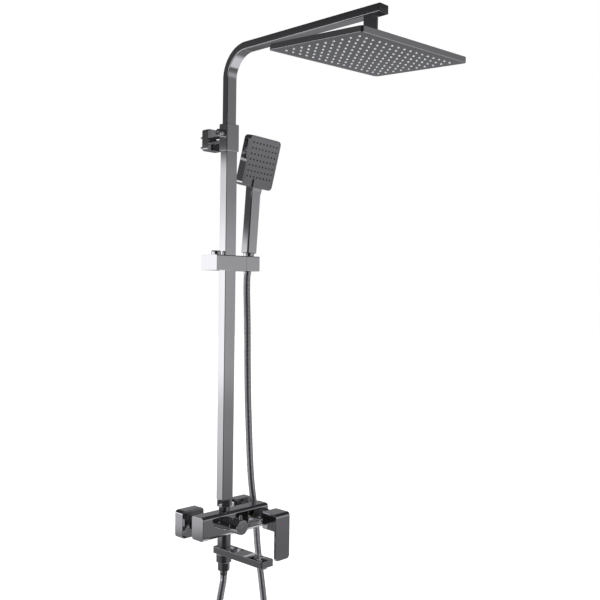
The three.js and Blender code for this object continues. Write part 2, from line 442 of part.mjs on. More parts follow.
// The seat frame leans with the hand shower; everything on it is made upright.
const seat = new THREE.Group();
seat.position.set(SEAT_X, SEAT_Y, SLIDER_Z);
seat.rotation.set(0, rad(SEAT_LEAN), rad(HAND_TURN));
seat.updateMatrix();
group.add(seat);
const slope = (CONE_TOP_R - CONE_BOTTOM_R) / (CONE_TOP - CONE_BOTTOM);
const coneRadius = z => CONE_BOTTOM_R + slope * (z - CONE_BOTTOM);
const seatReach = SLIDER_HEIGHT;
const seatBore = turned([[0, -seatReach], [coneRadius(-seatReach) + GAP, -seatReach],
  [coneRadius(seatReach) + GAP, seatReach], [0, seatReach]]).applyMatrix4(seat.matrix);
add('holder', cut(sliderBlock(HOLDER_LEFT, SLIDER_RIGHT), pivotHole, seatBore), 'chrome');

// ---- hand shower --------------------------------------------------------
const coneBoreR = HANDLE_BORE_R - 1;
add('hose_cone_nut', turned([[coneBoreR, CONE_BOTTOM], [CONE_BOTTOM_R, CONE_BOTTOM], [CONE_TOP_R, CONE_TOP],
  [coneBoreR, CONE_TOP], [coneBoreR, CONE_BOTTOM]]), 'chrome', seat);
const upperFerruleEnd = CONE_BOTTOM - GAP - FERRULE_LENGTH;
add('hose_ferrule_upper', rod(FERRULE_R, upperFerruleEnd, CONE_BOTTOM - GAP, 24), 'chrome', seat);

const handleBase = CONE_TOP + GAP, handleLength = HAND_HEAD_Z - handleBase - HAND_HEIGHT / 4;
const tilt = rad(HAND_HEAD_TILT);
const toHead = geometry => geometry.rotateX(tilt).translate(0, HAND_HEAD_Y, HAND_HEAD_Z);
const handBlock = (width, height, corner, from, to) => toHead(outward(
  prism(rounded(width, height, corner), to - from, 0, 5)).translate(0, -from, 0));
const housingFront = HAND_DEPTH / 2, housingBack = -HAND_DEPTH / 2;
const cavityBack = housingBack + HAND_WALL;
const cavityWidth = HAND_WIDTH - 2 * HAND_WALL, cavityHeight = HAND_HEIGHT - 2 * HAND_WALL;
const handle = prism(rounded(HANDLE_WIDTH, HANDLE_DEPTH, HANDLE_CORNER), handleLength, 0, 4)
  .translate(0, 0, handleBase);
const foot = -HAND_HEIGHT / 2;
const tongueBlock = (low, high, from, to) => toHead(outward(
  prism(rounded(HANDLE_WIDTH, high - low, HANDLE_CORNER), to - from).translate(0, (low + high) / 2, 0))
  .translate(0, -from, 0));
const tongueFront = housingFront + TONGUE_PROUD;
const housing = cut(join(handle, handBlock(HAND_WIDTH, HAND_HEIGHT, HAND_CORNER, housingBack, housingFront)),
  handBlock(cavityWidth, cavityHeight, HAND_CORNER - HAND_WALL, cavityBack, tongueFront + 1));
const handShell = join(housing, tongueBlock(foot - TONGUE_BELOW, foot + HAND_WALL, 0, tongueFront),
  tongueBlock(foot - TONGUE_BELOW, foot + TONGUE_ABOVE, housingFront + GAP, tongueFront));
const handleBore = rod(HANDLE_BORE_R, handleBase - 1, handleBase + handleLength - 6, SMALL_ROUND);
add('hand_shower_shell', cut(handShell, handleBore), 'chrome', seat);
const insertWidth = cavityWidth - 2 * GAP, insertHeight = cavityHeight - 2 * GAP, insertCorner = HAND_CORNER - HAND_WALL;
add('hand_shower_face', handBlock(insertWidth, insertHeight, insertCorner, housingFront - FACE_THICKNESS,
  housingFront), 'face', seat);
const matFront = housingFront - FACE_THICKNESS - GAP;
add('hand_nozzle_mat', handBlock(insertWidth - 4, insertHeight - 4, insertCorner - 1,
  matFront - MAT_THICKNESS, matFront), 'rubber', seat);

// ---- rain head ----------------------------------------------------------
const headX = COLUMN_X, headY = COLUMN_Y - HEAD_REACH, nutUnderArm = armAxis - UPPER_DEPTH / 2 - GAP;
const atArm = geometry => geometry.translate(headX, headY, 0);
add('ball_nut', atArm(cut(hexagon(BALL_NUT_FLATS, BALL_NUT_BOTTOM, nutUnderArm),
  rod(BALL_NECK_R + GAP, BALL_NUT_BOTTOM - 1, nutUnderArm + 1, SMALL_ROUND))), 'chrome');
const ballArc = [];
const neckAngle = Math.asin(BALL_NECK_R / BALL_R), BALL_STEPS = 10;
for (let step = 1; step <= BALL_STEPS; step += 1) {
  const angle = Math.PI - (step / BALL_STEPS) * (Math.PI - neckAngle);
  ballArc.push([BALL_R * Math.sin(angle), BALL_Z + BALL_R * Math.cos(angle)]);
}
const studTop = armAxis - 1;
add('ball_stud', atArm(turned([[0, BALL_Z - BALL_R], ...ballArc, [BALL_NECK_R, studTop], [0, studTop]], 20)),
  'chrome');

const head = new THREE.Group();
head.position.set(headX, headY, BALL_Z);
head.rotation.set(rad(HEAD_PITCH), rad(HEAD_ROLL), 0);
group.add(head);
const seatInner = BALL_R + GAP, seatOuter = seatInner + BALL_SEAT_WALL, socketInner = seatOuter + GAP;
const socketR = socketInner + SOCKET_WALL, bossBase = -socketInner, headTop = bossBase - BOSS_HEIGHT;
const headBottom = headTop - HEAD_THICKNESS, WATERWAY_R = 6;
const shellCavity = prism(rounded(HEAD_WIDTH - 2 * HEAD_WALL, HEAD_DEPTH - 2 * HEAD_WALL, HEAD_CORNER - HEAD_WALL),
  HEAD_THICKNESS - HEAD_WALL + 1).translate(0, 0, headBottom - 1);
const boss = turned([[0, headTop - 1], [30, headTop - 1], [30, headTop], [socketR + 3, bossBase], [0, bossBase]]);
const headBlank = join(prism(rounded(HEAD_WIDTH, HEAD_DEPTH, HEAD_CORNER), HEAD_THICKNESS, 1, 4)
  .translate(0, 0, headBottom), boss);
add('head_shell', cut(headBlank, shellCavity, rod(WATERWAY_R, headTop - 10, bossBase + 1, SMALL_ROUND)),
  'chrome', head);

// The ball turns in a thin seat, and the seat turns in the socket: both are parts of one sphere.
function arc(radius, fromDegrees, toDegrees, steps) {
  return Array.from({ length: steps + 1 }, (unused, step) => {
    const angle = rad(fromDegrees + (toDegrees - fromDegrees) * step / steps);
    return [radius * Math.sin(angle), -radius * Math.cos(angle)];
  });
}
add('ball_seat', turned([...arc(seatOuter, BALL_SEAT_FROM, BALL_SEAT_TO, 4),
  ...arc(seatInner, BALL_SEAT_TO, BALL_SEAT_FROM, 4), arc(seatOuter, BALL_SEAT_FROM, BALL_SEAT_TO, 4)[0]], 20)
  .translate(headX, headY, BALL_Z), 'plastic');
const socketBase = bossBase + GAP, waterwayAngle = THREE.MathUtils.radToDeg(Math.asin(WATERWAY_R / socketInner));
add('head_socket', turned([[WATERWAY_R, socketBase], [socketR, socketBase], [socketR, 0],
  ...arc(socketInner, 90, waterwayAngle, 6), [WATERWAY_R, socketBase]]), 'chrome', head);
const capHeight = 7, neckRoom = Math.sqrt(BALL_R ** 2 - capHeight ** 2) + LIP_CLEARANCE;
add('head_socket_ring', turned([[socketInner, GAP], [socketR, GAP], [socketR, capHeight],
  [neckRoom, capHeight], [socketInner - 0.6, capHeight * 0.5], [socketInner, GAP]]), 'chrome', head);
const faceWidth = HEAD_WIDTH - 2 * HEAD_WALL - 2 * GAP, faceDepth = HEAD_DEPTH - 2 * HEAD_WALL - 2 * GAP;
const faceCorner = HEAD_CORNER - HEAD_WALL;
const screwBore = rod(CENTRE_SCREW_R + GAP, headBottom - 1, headBottom + 7, SMALL_ROUND);
add('head_face', cut(prism(rounded(faceWidth, faceDepth, faceCorner), FACE_THICKNESS)
  .translate(0, 0, headBottom), screwBore), 'face', head);
add('head_nozzle_mat', cut(prism(rounded(faceWidth - 6, faceDepth - 6, faceCorner), MAT_THICKNESS)
  .translate(0, 0, headBottom + FACE_THICKNESS + GAP), screwBore), 'rubber', head);
add('head_centre_screw', rod(CENTRE_SCREW_R, headBottom, headBottom + HEAD_THICKNESS - HEAD_WALL - GAP,
  SMALL_ROUND), 'zinc', head);

// ---- hose ---------------------------------------------------------------
// From the foot of the hand shower, behind the mixer's right end, down into a
// hanging loop and up to the outlet: 1.5 m along its middle.
const HOSE_ROUTE = [
  [38.05, -68, 546.4], [37, -68.2, 532], [36.7, -68.6, 510], [37.6, -69, 480], [39.3, -69, 440],
  [41.5, -68, 400], [44.2, -66, 355], [47.5, -64, 310], [52, -61, 264], [57.5, -58, 217],
  [63.5, -54.5, 172], [71, -50, 125], [80, -45, 78], [91.5, -40, 34], [101.5, -37.8, -4],
  [106.5, -37.5, -48], [111, -38, -90], [115, -41, -130], [118.5, -45, -170], [121.5, -49, -210],
  [124, -53, -250], [125.5, -57, -292], [126, -60, -334], [126, -62.5, -372], [123.7, -64.5, -407],
  [116.5, -65.8, -438], [99.5, -66.4, -464], [74.5, -66.5, -481], [45.5, -66.5, -486.5],
  [15, -66.5, -481.5], [-11, -66.5, -465], [-29, -66.5, -439], [-37.5, -66.5, -407], [-40.5, -66.5, -368],
  [-41, -66.5, -326], [-40, -66.5, -284], [-37.8, -66.5, -244], [-34.5, -66.5, -206],
  [-30, -66.5, -170], [-24.2, -66.5, -145], [-20.4, -66.5, -126.5], [COLUMN_X, -66.5, -117.2],
];
const hosePath = new THREE.CatmullRomCurve3(HOSE_ROUTE.map(point => new THREE.Vector3(...point)));
const hoseSection = new THREE.Shape().absarc(0, 0, HOSE_R, 0, 2 * Math.PI);
add('shower_hose', new THREE.ExtrudeGeometry(hoseSection, { extrudePath: hosePath, steps: 48, curveSegments: 5 }),
  'chrome');

export default group;
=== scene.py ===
# %% [markdown]
# # A rainfall shower column
#
# A wall-hung column of polished chrome: a bath mixer with a lever, a diverter and a swivel spout, a telescopic
# riser bent forward into an arm, a flat rain head, and a hand shower on a slider with a metal hose. The CAD model
# gives every size and place, so this script starts from it, and only adds the surfaces that are seen.

# %% Load the CAD model
import json
import math
import bpy
import bmesh
from mathutils import Vector, Matrix


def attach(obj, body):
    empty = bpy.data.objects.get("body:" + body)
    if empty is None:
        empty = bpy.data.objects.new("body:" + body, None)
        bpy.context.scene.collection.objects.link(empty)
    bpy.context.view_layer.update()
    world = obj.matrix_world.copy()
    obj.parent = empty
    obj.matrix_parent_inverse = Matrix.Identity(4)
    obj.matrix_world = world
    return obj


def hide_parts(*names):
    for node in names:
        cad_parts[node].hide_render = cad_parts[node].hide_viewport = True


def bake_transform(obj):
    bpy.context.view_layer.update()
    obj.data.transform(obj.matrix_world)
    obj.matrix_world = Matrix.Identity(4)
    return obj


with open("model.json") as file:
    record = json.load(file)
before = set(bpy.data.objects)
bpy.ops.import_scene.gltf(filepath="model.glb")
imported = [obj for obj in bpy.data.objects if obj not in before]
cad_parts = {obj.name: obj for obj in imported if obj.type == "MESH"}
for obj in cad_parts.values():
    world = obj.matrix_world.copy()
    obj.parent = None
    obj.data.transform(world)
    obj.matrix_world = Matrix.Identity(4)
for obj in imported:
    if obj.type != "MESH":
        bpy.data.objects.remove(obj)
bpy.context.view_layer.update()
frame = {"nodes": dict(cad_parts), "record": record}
nodes = frame["nodes"]
MM = 0.001            # sizes below are in millimetres, and Blender's unit is the metre
print("CAD nodes:", len(nodes))

# %% [markdown]
# ## The camera
#
# Shower columns are shown from the left and from a little below the rain head, so that the spray face, the side of
# the mixer and the front of the lever all show. A 50 mm lens on a 36 mm sensor keeps the tall column nearly
# parallel. The small shift moves the picture without turning the camera, which would tilt the riser.

# %% Camera
LENS = 50
CAMERA_PLACE = Vector((-1.2383, -1.4336, 0.5122))
CAMERA_YAW = math.radians(45.82)
CAMERA_PITCH = math.radians(-1.44)
CAMERA_ROLL = math.radians(0.82)

camera_data = bpy.data.cameras.new("camera")
camera_data.lens = LENS
camera_data.sensor_width = 36
camera_data.shift_x = 0.0219
camera_data.shift_y = 0.0195
camera = bpy.data.objects.new("camera", camera_data)
bpy.context.scene.collection.objects.link(camera)
forward = Vector((
    math.sin(CAMERA_YAW) * math.cos(CAMERA_PITCH),
    math.cos(CAMERA_YAW) * math.cos(CAMERA_PITCH),
    math.sin(CAMERA_PITCH),
))
level_right = forward.cross(Vector((0, 0, 1))).normalized()
level_up = level_right.cross(forward)
right = level_right * math.cos(CAMERA_ROLL) + level_up * math.sin(CAMERA_ROLL)
up = right.cross(forward)
turn = Matrix((right, up, -forward)).transposed()
camera.matrix_world = Matrix.Translation(CAMERA_PLACE) @ turn.to_4x4()
bpy.context.scene.camera = camera
print("camera looks along", [round(part, 3) for part in forward])

# %% [markdown]
# ## The studio
#
# Polished chrome has no colour of its own: it shows the room. So the light is planned as rings of grey cards around
# the column, painted into the world shader by direction. To the left and behind stands a tall white card that ends
# a little above the hand shower, to the right a mid-grey one, and the side the viewer stands on and the ceiling are
# nearly black. The cards are brightest at the height of the slider. The paper behind everything is plain white, and
# only the camera sees it.

# %% Helpers for shader nodes
world = bpy.data.worlds.new("studio")
bpy.context.scene.world = world
world.use_nodes = True
tree = world.node_tree
tree.nodes.clear()


def node(kind, **settings):
    made = tree.nodes.new(kind)
    for name, value in settings.items():
        setattr(made, name, value)
    return made


def math_node(operation, first, second=None):
    made = node("ShaderNodeMath", operation=operation)
    for socket, value in zip(made.inputs, (first, second)):
        if isinstance(value, (int, float)):
            socket.default_value = value
        elif value is not None:
            tree.links.new(value, socket)
    return made.outputs[0]


def grey_ramp(position, stops):
    ramp = node("ShaderNodeValToRGB")
    ramp.color_ramp.interpolation = "EASE"
    elements = ramp.color_ramp.elements
    elements[0].position, elements[1].position = stops[0][0], stops[-1][0]
    for place, grey in stops[1:-1]:
        elements.new(place)
    for element, (place, grey) in zip(elements, stops):
        element.color = (grey, grey, grey * 1.02, 1)
    tree.links.new(position, ramp.inputs[0])
    return ramp.outputs[0]


def blend_colours(share, first, second):
    mixed = node("ShaderNodeMix", data_type="RGBA")
    tree.links.new(share, mixed.inputs["Factor"])
    for socket, value in ((mixed.inputs[6], first), (mixed.inputs[7], second)):
        if isinstance(value, tuple):
            socket.default_value = value
        else:
            tree.links.new(value, socket)
    return mixed.outputs[2]


def times(first, second):
    made = node("ShaderNodeMix", data_type="RGBA", blend_type="MULTIPLY")
    made.inputs["Factor"].default_value = 1
    tree.links.new(first, made.inputs[6])
    tree.links.new(second, made.inputs[7])
    return made.outputs[2]


# %% Which way a ray looks
direction = node("ShaderNodeTexCoord").outputs["Generated"]
split = node("ShaderNodeSeparateXYZ")
tree.links.new(direction, split.inputs[0])
# 0 looks along -X, then round by -Y at 0.25, +X at 0.5 and +Y at 0.75
around = math_node("ARCTAN2", split.outputs[1], split.outputs[0])
around = math_node("DIVIDE", around, 2 * math.pi)
around = math_node("ADD", around, 0.5)
height = math_node("MULTIPLY_ADD", split.outputs[2], 0.5)
height.node.inputs[2].default_value = 0.5
print("straight down is height 0, level is 0.5, straight up is 1")

# %% Four rings of grey cards, one above the other
LOW_RING = [
    (0.0, 0.75), (0.045, 0.14), (0.09, 0.012), (0.16, 0.012), (0.23, 0.06), (0.27, 0.19), (0.36, 0.225),
    (0.42, 0.17), (0.50, 0.15), (0.60, 0.135), (0.70, 0.12), (0.76, 0.18), (0.81, 0.67), (0.93, 0.70), (1.0, 0.55),
]
HIGH_RING = [
    (0.0, 0.06), (0.09, 0.01), (0.2, 0.02), (0.27, 0.16), (0.38, 0.19), (0.46, 0.12), (0.58, 0.19), (0.66, 0.20),
    (0.76, 0.08), (0.88, 0.06), (1.0, 0.06),
]
UNDER_RING = [
    (0.0, 0.07), (0.09, 0.02), (0.2, 0.03), (0.27, 0.10), (0.36, 0.125), (0.42, 0.12), (0.5, 0.13), (0.6, 0.19),
    (0.7, 0.15), (0.78, 0.09), (0.88, 0.10), (1.0, 0.07),
]
FOOT_RING = [
    (0.0, 0.10), (0.09, 0.04), (0.2, 0.12), (0.29, 0.62), (0.46, 0.62), (0.56, 0.16), (0.7, 0.10), (0.8, 0.25),
    (0.9, 0.45), (1.0, 0.2),
]
low_ring = grey_ramp(around, LOW_RING)
foot_ring = grey_ramp(around, FOOT_RING)
high_ring = grey_ramp(around, HIGH_RING)
under_ring = grey_ramp(around, UNDER_RING)
print("cards in the four rings:", len(LOW_RING), len(HIGH_RING), len(UNDER_RING), len(FOOT_RING))

# %% Where one ring gives way to the next
rise = grey_ramp(height, [(0.0, 0.0), (0.571, 0.0), (0.583, 1.0), (1.0, 1.0)])
ceiling = grey_ramp(height, [(0.0, 0.0), (0.636, 0.0), (0.662, 1.0), (1.0, 1.0)])
drop = grey_ramp(height, [(0.0, 1.0), (0.352, 1.0), (0.366, 0.0), (1.0, 0.0)])
deep = grey_ramp(height, [(0.0, 1.0), (0.25, 1.0), (0.31, 0.0), (1.0, 0.0)])
# half of the strength of the cards at each height, brightest at the height of the slider
glow = grey_ramp(height, [(0.0, 0.31), (0.37, 0.32), (0.425, 0.5), (0.455, 0.76), (0.52, 0.78), (0.562, 0.53),
                          (0.61, 0.45), (1.0, 0.45)])


# %% The cards that chrome reflects
cards = times(blend_colours(rise, low_ring, high_ring), glow)
NEARLY_BLACK = (0.015, 0.015, 0.016, 1)
cards = blend_colours(ceiling, cards, NEARLY_BLACK)
half = grey_ramp(height, [(0.0, 0.5), (1.0, 0.5)])
cards = blend_colours(drop, cards, times(blend_colours(deep, under_ring, foot_ring), half))

# %% White paper for the camera
seen = node("ShaderNodeBackground")
seen.inputs["Color"].default_value = (1, 1, 1, 1)
seen.inputs["Strength"].default_value = 1.0
reflected = node("ShaderNodeBackground")
tree.links.new(cards, reflected.inputs["Color"])
reflected.inputs["Strength"].default_value = 2
path_kind = node("ShaderNodeLightPath")
choose = node("ShaderNodeMixShader")
tree.links.new(path_kind.outputs["Is Camera Ray"], choose.inputs[0])
tree.links.new(reflected.outputs[0], choose.inputs[1])
tree.links.new(seen.outputs[0], choose.inputs[2])
tree.links.new(choose.outputs[0], node("ShaderNodeOutputWorld").inputs[0])
bpy.context.scene.view_settings.view_transform = "Standard"
print("world shader has", len(tree.nodes), "nodes")

# %% [markdown]
# ## Floor and sun
#
# A pale floor lies a metre under the mixer. Both it and the sun are hidden from mirrors, so that they light the soft
# parts without drawing a line across the chrome.

# %% Floor and sun
FLOOR_DROP = 1.05     # the mixer hangs about a metre above the floor
bpy.ops.object.select_all(action="DESELECT")
bpy.ops.mesh.primitive_plane_add(size=40, location=(0, 0, -FLOOR_DROP))
floor = bpy.context.object
floor.name = "floor"
paper = bpy.data.materials.new("white_paper")
paper.use_nodes = True
paper_shader = paper.node_tree.nodes["Principled BSDF"]
paper_shader.inputs["Base Color"].default_value = (0.97, 0.97, 0.97, 1)
paper_shader.inputs["Roughness"].default_value = 0.9
floor.data.materials.append(paper)
floor.visible_glossy = False

sun_data = bpy.data.lights.new("overhead", "SUN")
sun_data.energy = 4.4
sun_data.angle = math.radians(40)
sun = bpy.data.objects.new("overhead", sun_data)
sun.rotation_euler = (math.radians(12), math.radians(-18), 0)
sun.visible_glossy = False
bpy.context.scene.collection.objects.link(sun)

# %% [markdown]
# ## Finishes
#
# Chrome plate is a mirror with a faint life in it: tiny ripples left by the polishing wheel and soft smudges from
# hands. A low, slightly varied roughness and a very weak bump give both. Every finish below is made of nodes on
# Object coordinates, so that the pattern stays put when a piece moves.

# %% Metal finishes
def plain_finish(name, colour, metallic, roughness):
    made = bpy.data.materials.new(name)
    made.use_nodes = True
    shader = made.node_tree.nodes["Principled BSDF"]
    shader.inputs["Base Color"].default_value = (*colour, 1)
    shader.inputs["Metallic"].default_value = metallic
    shader.inputs["Roughness"].default_value = roughness
    return made


BUMP_DEPTH = 0.2 * MM


def vary(material, scale, low, high, bump):
    """Noise between two roughness values, and the same noise as a weak bump."""
    links, things = material.node_tree.links, material.node_tree.nodes
    place = things.new("ShaderNodeTexCoord")
    noise = things.new("ShaderNodeTexNoise")
    noise.inputs["Scale"].default_value = scale
    noise.inputs["Detail"].default_value = 4
    spread = things.new("ShaderNodeMapRange")
    spread.inputs["To Min"].default_value = low
    spread.inputs["To Max"].default_value = high
    raised = things.new("ShaderNodeBump")
    raised.inputs["Strength"].default_value = bump
    raised.inputs["Distance"].default_value = BUMP_DEPTH
    shader = things["Principled BSDF"]
    links.new(place.outputs["Object"], noise.inputs["Vector"])
    links.new(noise.outputs[0], spread.inputs[0])
    links.new(spread.outputs[0], shader.inputs["Roughness"])
    links.new(noise.outputs[0], raised.inputs["Height"])
    links.new(raised.outputs[0], shader.inputs["Normal"])
    return material


chrome = vary(plain_finish("chrome_plate", (0.84, 0.835, 0.845), 1, 0.05), 14, 0.035, 0.075, 0.02)
chrome_on_plastic = vary(plain_finish("chrome_on_plastic", (0.86, 0.855, 0.865), 1, 0.06), 9, 0.045, 0.1, 0.03)
spray_face = vary(plain_finish("spray_face", (0.78, 0.78, 0.8), 1, 0.16), 30, 0.13, 0.2, 0.01)
hose_steel = vary(plain_finish("hose_steel", (0.8, 0.79, 0.81), 1, 0.1), 60, 0.08, 0.15, 0.01)
zinc = vary(plain_finish("zinc_plate", (0.62, 0.63, 0.65), 0.95, 0.35), 60, 0.28, 0.45, 0.1)
brass = vary(plain_finish("machined_brass", (0.72, 0.55, 0.27), 1, 0.3), 120, 0.2, 0.38, 0.08)
print("metal finishes:", chrome.name, chrome_on_plastic.name, spray_face.name, hose_steel.name)

# %% [markdown]
# ## Rubber, plastic and what each CAD node wears
#
# The nozzles are soft silicone, pale in the rain head and nearly black in the hand shower. The record names a
# material slot for each CAD node, so one table from slot to finish paints every node that stays in view.

# %% Rubber and plastic finishes
pale_silicone = vary(plain_finish("pale_silicone", (0.7, 0.72, 0.74), 0, 0.35), 300, 0.3, 0.45, 0.05)
dark_silicone = vary(plain_finish("dark_silicone", (0.03, 0.03, 0.033), 0, 0.5), 300, 0.42, 0.6, 0.1)
black_rubber = vary(plain_finish("black_rubber", (0.02, 0.02, 0.02), 0, 0.7), 200, 0.6, 0.8, 0.1)
white_plastic = vary(plain_finish("white_plastic", (0.8, 0.79, 0.75), 0, 0.45), 80, 0.38, 0.52, 0.05)
FINISHES = {
    "chrome": chrome, "plated_plastic": chrome_on_plastic, "face_grey": spray_face,
    "nozzle_silicone": dark_silicone, "seal_rubber": black_rubber, "brass": brass, "zinc_steel": zinc,
    "moulded_plastic": white_plastic, "hose_steel": hose_steel,
}

# %% Paint the CAD nodes
slot_of = {entry["node"]: entry["material_slot"] for entry in frame["record"]["subparts"]}
body_of = {name: body for body, names in frame["record"]["behaviour"]["bodies"].items() for name in names}
for name, cad in nodes.items():
    cad.data.materials.clear()
    cad.data.materials.append(FINISHES[slot_of[name]])
print("painted", len(nodes), "CAD nodes")

# %% [markdown]
# ## A few habits of the bench
#
# Most pieces here are blocks with round corners, or pieces turned on a lathe. Both start from a primitive and are
# shaped in edit mode. Two things make chrome look real: no edge is perfectly sharp, and the flat faces stay truly
# flat, so each piece gets a narrow bevel and weighted normals at the end.

# %% Selecting and applying
def alone(piece):
    bpy.ops.object.select_all(action="DESELECT")
    piece.select_set(True)
    bpy.context.view_layer.objects.active = piece


def pick(piece, test, kind="FACE"):
    """Selects the faces or edges for which the test is true. The piece is in edit mode."""
    bpy.ops.mesh.select_mode(type=kind)
    bpy.ops.mesh.select_all(action="DESELECT")
    mesh = bmesh.from_edit_mesh(piece.data)
    for item in (mesh.faces if kind == "FACE" else mesh.edges):
        if test(item):
            item.select_set(True)
    mesh.select_flush_mode()
    bmesh.update_edit_mesh(piece.data)


def along(axis):
    """A test for edges that run along one axis."""
    def test(edge):
        first, second = (vertex.co for vertex in edge.verts)
        return abs((second - first).normalized()[axis]) > 0.99
    return test


def apply_all(piece):
    alone(piece)
    for modifier in list(piece.modifiers):
        bpy.ops.object.modifier_apply(modifier=modifier.name)


def finish_piece(piece, name, stands_for, edge=0.5, segments=3, frame_turn=None, finish=None):
    """Rounds the edges, keeps the flats flat, and puts the piece on the body of the CAD node it stands for."""
    piece.name = name
    alone(piece)
    if frame_turn is not None:
        piece.matrix_world = frame_turn @ piece.matrix_world
    bpy.ops.object.transform_apply(location=True, rotation=True, scale=True)
    bpy.ops.object.mode_set(mode="EDIT")
    bpy.ops.mesh.select_all(action="SELECT")
    bpy.ops.mesh.remove_doubles(threshold=0.00001)
    bpy.ops.mesh.normals_make_consistent(inside=False)
    bpy.ops.object.mode_set(mode="OBJECT")
    if edge:
        bevel = piece.modifiers.new("edges", "BEVEL")
        bevel.width = edge * MM
        bevel.segments = segments
        bevel.limit_method = "ANGLE"
        bevel.angle_limit = math.radians(40)
    apply_all(piece)
    bpy.ops.object.shade_smooth_by_angle(angle=math.radians(42))
    piece.modifiers.new("flats", "WEIGHTED_NORMAL").keep_sharp = True
    apply_all(piece)
    piece.data.materials.clear()
    piece.data.materials.append(finish or FINISHES[slot_of[stands_for[0]]])
    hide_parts(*stands_for)
    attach(piece, body_of[stands_for[0]])
    print(name, "has", len(piece.data.polygons), "faces")
    return piece


# %% [markdown]
# ## Blocks with round corners
#
# A cube is scaled to its size, and the four edges along its length are rounded in edit mode. Booleans then cut holes
# or join blocks, as a mill and a weld would.

# %% Blocks with round corners
def block(low, high, corner=0, axis=2, segments=8):
    """A block between two corners in millimetres, its four edges along one axis rounded."""
    size = [top - bottom for bottom, top in zip(low, high)]
    middle = [(top + bottom) / 2 * MM for bottom, top in zip(low, high)]
    bpy.ops.object.select_all(action="DESELECT")
    bpy.ops.mesh.primitive_cube_add(size=1, location=middle)
    piece = bpy.context.object
    piece.scale = [length * MM for length in size]
    bpy.ops.object.transform_apply(location=True, rotation=True, scale=True)
    if corner:
        bpy.ops.object.mode_set(mode="EDIT")
        pick(piece, along(axis), "EDGE")
        bpy.ops.mesh.bevel(offset=corner * MM, segments=segments, affect="EDGES")
        bpy.ops.object.mode_set(mode="OBJECT")
    return piece


def subtract(piece, *tools):
    for tool in tools:
        bite = piece.modifiers.new("cut", "BOOLEAN")
        bite.operation = "DIFFERENCE"
        bite.solver = "EXACT"
        bite.object = tool
    apply_all(piece)
    for tool in tools:
        bpy.data.objects.remove(tool)
    return piece


def unite(piece, *others):
    for other in others:
        weld = piece.modifiers.new("join", "BOOLEAN")
        weld.operation = "UNION"
        weld.solver = "EXACT"
        weld.object = other
    apply_all(piece)
    for other in others:
        bpy.data.objects.remove(other)
    return piece


# %% [markdown]
# ## Turned pieces
#
# A turned piece is a circle that is extruded from station to station, and resized at each. A ring closes on itself,
# so its last station is its first. A nut starts with six sides, and its ends are turned down to a cone.

# %% Pieces turned on a lathe
AXES = {
    "up": Matrix.Identity(4),
    "out": Matrix.Rotation(math.radians(90), 4, "X"),      # +Z turned to -Y, away from the wall
    "right": Matrix.Rotation(math.radians(90), 4, "Y"),    # +Z turned to +X
}


def lathe(stations, centre=(0, 0, 0), axis="up", sides=64, hollow=False):
    """Stations are (radius, height) in millimetres. A solid piece is capped, and a hollow one closes on itself."""
    (radius, height), rest = stations[0], stations[1:]
    bpy.ops.object.select_all(action="DESELECT")
    bpy.ops.mesh.primitive_circle_add(
        vertices=sides, radius=radius * MM, location=(0, 0, height * MM),
        fill_type="NOTHING" if hollow else "NGON",
    )
    piece = bpy.context.object
    bpy.ops.object.transform_apply(location=True, rotation=True, scale=True)
    bpy.ops.object.mode_set(mode="EDIT")
    bpy.ops.mesh.select_all(action="SELECT")
    for next_radius, next_height in rest:
        bpy.ops.mesh.extrude_region_move(TRANSFORM_OT_translate={"value": (0, 0, (next_height - height) * MM)})
        share = next_radius / radius
        bpy.ops.transform.resize(value=(share, share, 1), center_override=(0, 0, next_height * MM))
        radius, height = next_radius, next_height
    if hollow:
        bpy.ops.mesh.select_all(action="SELECT")
        bpy.ops.mesh.remove_doubles(threshold=0.000005)
    bpy.ops.mesh.select_all(action="SELECT")
    bpy.ops.mesh.normals_make_consistent(inside=False)
    bpy.ops.object.mode_set(mode="OBJECT")
    piece.data.transform(AXES[axis])
    piece.data.transform(Matrix.Translation(Vector(centre) * MM))
    return piece


def ring(outer, inner, low, high, centre, axis="up", sides=64):
    profile = [(inner, low), (outer, low), (outer, high), (inner, high), (inner, low)]
    return lathe(profile, centre, axis, sides, hollow=True)


def hexagon(flats, low, high, centre, axis="up"):
    """A nut: six sides, with its ends turned down to a cone as on a real nut."""
    corner = flats / math.sqrt(3)
    nut = lathe([(corner, low), (corner, high)], sides=6)
    trim = flats * 0.035
    end, clear = flats / 2 + trim / 4, corner + 0.1
    blank = lathe([(end, low), (clear, low + trim), (clear, high - trim), (end, high)])
    clip = nut.modifiers.new("turned ends", "BOOLEAN")
    clip.operation = "INTERSECT"
    clip.solver = "EXACT"
    clip.object = blank
    apply_all(nut)
    bpy.data.objects.remove(blank)
    nut.data.transform(AXES[axis])
    nut.data.transform(Matrix.Translation(Vector(centre) * MM))
    return nut


def drill(radius, centre, axis, low, high):
    return lathe([(radius, low), (radius, high)], centre, axis, sides=48)


# %% The axes that turned pieces stand on
COLUMN = (-20, -66.5, 0)
DIVERTER = (-20, 0, 0)
CARTRIDGE = (78, 0, 0)
AERATOR = (-20, -189, 0)
BALL = (-20, -455.5, 0)
print("the column stands at", COLUMN[:2], "mm, and the ball joint at", BALL[:2])

# %% [markdown]
# ## The wall connections
#
# A mixer hangs on two threaded unions that stand out of the wall, each hidden by a square open-backed cover. Blocks
# make the covers: the hollow and the round hole are cut with booleans, as a press would punch them. The unions are
# turned and their nuts are hexagons with turned ends.

# %% Covers, unions and nuts
COVER_WALL = 2
INLET_OFFSET = 75     # half of the distance between the two wall inlets


